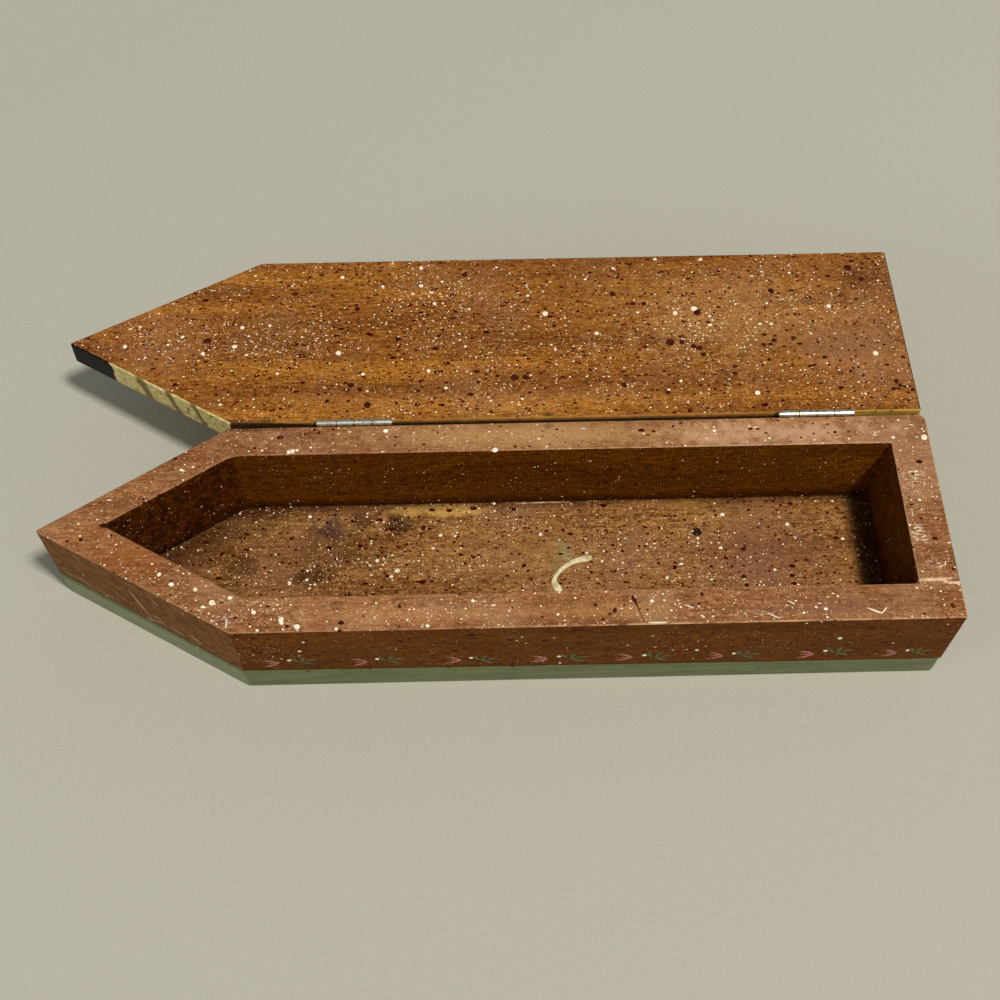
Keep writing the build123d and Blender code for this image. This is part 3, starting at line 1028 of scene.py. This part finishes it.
def drop_mesh():
    """Dried drop of paint of radius 1, in millimetres: a low dome, its middle a little sunk."""
    rings = ((1.0, -0.05), (0.94, 0.05), (0.68, 0.075), (0.3, 0.065))
    sides = 12
    turns = [2 * math.pi * side / sides for side in range(sides)]
    work = bmesh.new()
    loops = [
        [work.verts.new((radius * math.cos(turn), radius * math.sin(turn), height)) for turn in turns]
        for radius, height in rings
    ]
    for outer, inner in zip(loops, loops[1:]):
        for side in range(sides):
            after = (side + 1) % sides
            work.faces.new((outer[side], outer[after], inner[after], inner[side]))
    work.faces.new(loops[-1])
    work.faces.new(list(reversed(loops[0])))
    for face in work.faces:
        face.smooth = True
    mesh = bpy.data.meshes.new("drop")
    work.to_mesh(mesh)
    work.free()
    return mesh


drop = into_scene("drop", drop_mesh())
# Largest drops of spatter, as (along, across, radius) on each surface
lid_cream = [
    (-129, 36, 0.9), (-109, 40, 0.7), (-101, 32, 0.9), (-90, 35, 1.0), (-53, 31, 0.9),
    (-44, 21, 0.8), (-21, 22, 0.7), (-15, 14, 0.6), (-24, 72, 0.8), (-24, 63, 0.8),
    (-38, 63, 0.7), (-27, 59, 0.6), (-19, 54, 0.7), (-16, 54, 0.5), (-53, 68, 0.7),
    (-88, 44, 0.8), (-74, 22, 0.6), (21, 48, 1.0), (15, 57, 0.6), (39, 38, 0.7),
    (68, 47, 0.9), (75, 49, 1.1), (80, 41, 0.7), (98, 41, 0.7), (102, 41, 0.6),
    (137, 26, 1.1), (93, 9, 0.9), (67, 15, 0.6), (63, 74.3, 0.7), (80, 73.8, 0.7),
    (47, 70, 0.6), (124, 49, 0.8), (30, 25, 0.5), (112, 66, 0.6), (-8, 33, 0.5),
]
lid_maroon = [
    (-100, 38, 1.5), (-42, 7, 1.6), (-48, 16, 1.1), (-45, 14, 0.9), (-50, 17, 0.8),
    (-56, 9, 0.9), (-32, 37, 1.1), (-16, 41, 0.9), (-47, 52, 1.1), (46, 57, 1.4),
    (53, 52, 1.1), (57, 52, 0.9), (76, 47, 1.5), (65, 33, 1.4), (69, 33, 1.2),
    (73, 31, 1.2), (75, 30, 1.1), (76, 27, 0.9), (102, 33, 1.2), (98, 31, 0.8),
    (109, 34, 0.9), (134, 68, 1.5), (138, 62, 1.1), (104, 57, 1.4), (9, 18, 1.6),
    (13, 18, 1.2), (3, 19, 0.9), (142, 13, 1.1), (143, 11, 0.8), (147, 9, 0.8),
    (47, 14, 1.1), (62, 10, 0.9), (24, 42, 0.9), (-70, 60, 1.1), (-8, 68, 0.9),
]
rim_cream = [
    (-89.4, -27.3, 1.0), (-67.2, -33.8, 0.9), (-67.0, -34.9, 0.6), (-62.1, -36.3, 0.9),
    (1.5, 27.3, 0.9), (146.6, 28.9, 1.0), (136.1, 29.1, 0.6), (-83.8, -25.7, 0.7),
    (-107, -16.9, 0.7), (-67.7, 28.2, 0.8), (-66.5, 28.4, 0.9), (-65.0, 28.8, 0.6),
    (-95, -22.5, 0.6), (-76, -31, 0.7), (50, -30, 0.6), (20, -34, 0.5),
]
rim_maroon = [(38, -33, 0.9), (32, -31, 0.7), (145, -34, 0.8), (-30, -30, 0.6), (66, -28, 0.7)]
floor_cream = [
    (72, 9.2, 0.5), (-64, 21, 0.8), (-33, -1, 0.9), (-13, 12, 0.6), (-18, 12.5, 0.6),
    (17, 12, 0.7), (-40, 3, 0.7), (-70, -5, 0.7), (38, 1, 0.6), (104, 14, 0.7), (60, -6, 0.6),
]
floor_maroon = [(25, 13.5, 0.8), (-24, 15.5, 1.0), (40, 13, 0.6), (88, 5, 0.7), (-30, 9, 0.6)]
front_cream = [(111.5, 29, 0.8), (66, 22, 0.6), (21.5, 14, 0.5), (-63, 28, 0.6), (-61, 35, 0.5)]
for name, places, spot, paint, body, slot, turn, unevenness, seed in (
    ("lid_maroon_drops", lid_maroon, on_lid, maroon_paint, "lid", "stained_lid_wood", 0.4, 0.25, 3),
    ("lid_cream_drops", lid_cream, on_lid, cream_paint, "lid", "stained_lid_wood", 0.4, 0.2, 5),
    ("rim_cream_drops", rim_cream, on_rim, cream_paint, "box", "stained_wood", 0.5, 0.2, 7),
    ("rim_maroon_drops", rim_maroon, on_rim, maroon_paint, "box", "stained_wood", 0.4, 0.25, 8),
    ("floor_cream_drops", floor_cream, on_floor, cream_paint, "box", "painted_base_wood", 0.5, 0.2, 9),
    ("floor_maroon_drops", floor_maroon, on_floor, maroon_paint, "box", "painted_base_wood", 0.4, 0.25, 10),
    ("front_cream_drops", front_cream, on_front, cream_paint, "box", "stained_wood", 0.5, 0.3, 11),
):
    touches(name, places, spot, drop, paint, body, turn, unevenness, seed)
bpy.data.objects.remove(drop)

# Sprig border: a tulip bud lying on its side, a white dot, leaves on a thin vine
bud = [
    [(-2.8, 2.8, 0.12), (-0.9, 2.4, 0.6), (1.4, 0.7, 0.45), (2.4, 0.0, 0.1)],
    [(-2.9, -2.2, 0.12), (-1.0, -2.0, 0.65), (1.3, -0.6, 0.45), (2.4, 0.0, 0.1)],
    [(-2.2, 0.3, 0.1), (-0.4, 0.2, 0.5), (2.0, 0.0, 0.1)],
]
pip = [[(5.1, 1.8, 0.35), (5.4, 2.0, 0.85), (6.0, 2.0, 0.8), (6.3, 1.9, 0.3)]]
leaves = [
    [(8.4, 0.6, 0.15), (7.0, 2.4, 1.15), (6.4, 4.2, 0.1)],
    [(9.8, 0.6, 0.15), (9.6, 2.8, 1.25), (10.8, 4.6, 0.1)],
    [(9.0, 0.2, 0.15), (11.4, -0.6, 1.2), (13.2, -2.4, 0.1)],
    [(11.0, 0.8, 0.12), (13.0, 1.9, 1.0), (14.8, 1.8, 0.1)],
]
vine = [
    [(2.2, 0.0, 0.16), (5.0, -1.9, 0.2), (9.0, -0.6, 0.2), (14.0, 0.6, 0.16), (20.0, -1.2, 0.13)],
    [(7.8, -0.6, 0.16), (7.2, 0.8, 0.14), (6.2, 1.6, 0.1)],
]
border = [
    (-73, 18.6, 1), (-44, 18.2, 1), (-13.4, 18.0, 1), (15, 17.4, 1),
    (43, 17.2, 1), (73, 16.8, 1), (103, 16.4, 1), (131, 16.0, 0.95),
]
for part, strokes, paint in (
    ("vine", vine, vine_paint),
    ("buds", bud, pink_paint),
    ("dots", pip, cream_paint),
    ("leaves", leaves, leaf_paint),
):
    sprig = into_scene("sprig", stroke_mesh("sprig", strokes, 0.12))
    touches("border_" + part, border, on_front, sprig, paint, "box", 0.09, 0.06, 21)
    bpy.data.objects.remove(sprig)

# Curl of cream paint that ran off a brush onto the floor
curl = [
    [(34.7, 2.5, 0.4), (33.9, 2.4, 1.15), (32.4, 2.1, 1.4), (30.6, 1.8, 1.2),
     (28.6, 1.3, 1.0), (26.6, 0.3, 0.95), (24.2, -1.3, 0.85), (22.4, -3.3, 0.7),
     (21.2, -5.2, 0.75), (20.9, -6.6, 1.05), (21.4, -8.2, 1.45), (22.5, -9.6, 1.6),
     (23.6, -9.9, 0.3)],
    [(33.4, 3.2, 0.15), (30.4, 2.5, 0.4), (27.6, 1.6, 0.4), (25.4, 0.2, 0.15)],
    [(21.0, -6.0, 0.15), (21.3, -8.0, 0.4), (22.2, -9.6, 0.4), (23.4, -9.9, 0.15)],
]
# Ridge of glue along the foot of the back wall
ridge = [[(9, 24.5, 0.15), (13, 24.7, 0.35), (18, 24.8, 0.3), (23, 24.8, 0.3), (28, 24.7, 0.1)]]
# Filler smeared over the kerf's mouth at the front right corner
smears = [
    [(136.9, -24.2, 0.2), (139.5, -24.5, 0.55), (143.5, -24.5, 0.6), (146.6, -24.3, 0.25)],
    [(143.2, -25.9, 0.15), (145.5, -25.8, 0.35), (148.0, -26.0, 0.35), (149.1, -26.1, 0.3)],
]
# Pale dashes on the front rim, and one worn place at the edge
pale_marks = [
    [(117.8, -34.0, 0.15), (120.6, -35.4, 0.45), (122.4, -36.0, 0.2)],
    [(122.2, -36.0, 0.15), (123.6, -34.6, 0.35), (124.0, -33.9, 0.1)],
    [(86.2, -35.0, 0.1), (88.4, -36.4, 0.3), (89.8, -37.0, 0.1)],
    [(93.0, -31.0, 0.1), (94.4, -31.8, 0.3), (95.2, -32.2, 0.1)],
    [(60.2, -31.6, 0.1), (61.8, -32.4, 0.32), (63.0, -32.6, 0.1)],
    [(48.4, -37.4, 0.1), (51.5, -37.7, 0.5), (54.4, -37.5, 0.1)],
    [(-84.6, -33.2, 0.1), (-84.0, -34.8, 0.4), (-84.6, -36.2, 0.1)],
]
# Maroon drip that ran towards the front
drip = [
    [(43.8, -28.0, 0.3), (44.3, -29.2, 0.8), (44.8, -30.4, 0.4), (45.3, -32.0, 0.14),
     (46.2, -34.6, 0.12), (47.0, -37.2, 0.1)],
]
# Scratches and rubbed paint on the slanting front
scratches = [
    [(-118.6, 34.4, 0.1), (-117.2, 27.0, 0.24), (-115.6, 21.0, 0.16), (-114.6, 16.4, 0.06)],
    [(-113.0, 22.0, 0.05), (-110.6, 19.0, 0.22), (-109.2, 16.4, 0.05)],
    [(-117.0, 14.6, 0.05), (-113.8, 15.8, 0.26), (-110.2, 18.4, 0.06)],
    [(-108.0, 19.4, 0.05), (-105.2, 18.2, 0.24), (-102.8, 16.8, 0.05)],
    [(-101.0, 20.4, 0.05), (-98.2, 18.6, 0.2), (-96.0, 18.8, 0.05)],
    [(-110.6, 34.8, 0.1), (-109.6, 34.2, 0.5), (-108.8, 33.4, 0.1)],
    [(-146.0, 18.0, 0.06), (-141.0, 18.8, 0.2), (-136.6, 17.4, 0.06)],
    [(-134.0, 18.0, 0.05), (-131.0, 16.4, 0.18), (-127.6, 16.6, 0.06)],
]
for name, strokes, spot, paint, slot, thickness in (
    ("floor_curl", curl, on_floor, pale_paint, "painted_base_wood", 0.28),
    ("glue_ridge", ridge, on_floor, glue_line, "painted_base_wood", 0.6),
    ("filler_smears", smears, on_rim, filler_paste, "wood_filler", 0.12),
    ("rim_dashes", pale_marks, on_rim, cream_paint, "stained_wood", 0.12),
    ("rim_drip", drip, on_rim, maroon_paint, "stained_wood", 0.15),
    ("bevel_scratches", scratches, on_bevel, faded_paint, "stained_wood", 0.15),
):
    brush_strokes(name, strokes, spot, paint, "box", thickness)

# Matt cotton table cloth, left plain
cloth, tree, shader, place = new_finish("matt_table_cloth")[:4]
weave = add(tree, "TexNoise", {"Vector": place, "Scale": 1.1, "Detail": 4.0})
woven = add(tree, "MapRange", {"Value": weave, "From Min": 0.3, "From Max": 0.7})
tone = add(tree, "Mix", [woven, "#AFADA0", "#B8B6A8"])
relief = add(tree, "Math", [weave, 0.08], operation="MULTIPLY")
rough = add(tree, "MapRange", {"Value": weave, "To Min": 0.85, "To Max": 0.95})
finish_surface(tree, shader, tone, relief, rough)
floor_mesh = bpy.data.meshes.new("floor")
half = 4.0  # metres, so that the cloth fills the picture
floor_mesh.from_pydata(
    [(-half, -half, 0), (half, -half, 0), (half, half, 0), (-half, half, 0)], [], [(0, 1, 2, 3)]
)
floor_mesh.materials.append(cloth)
floor = into_scene("floor", floor_mesh)
floor.location.z = cad_low[2]
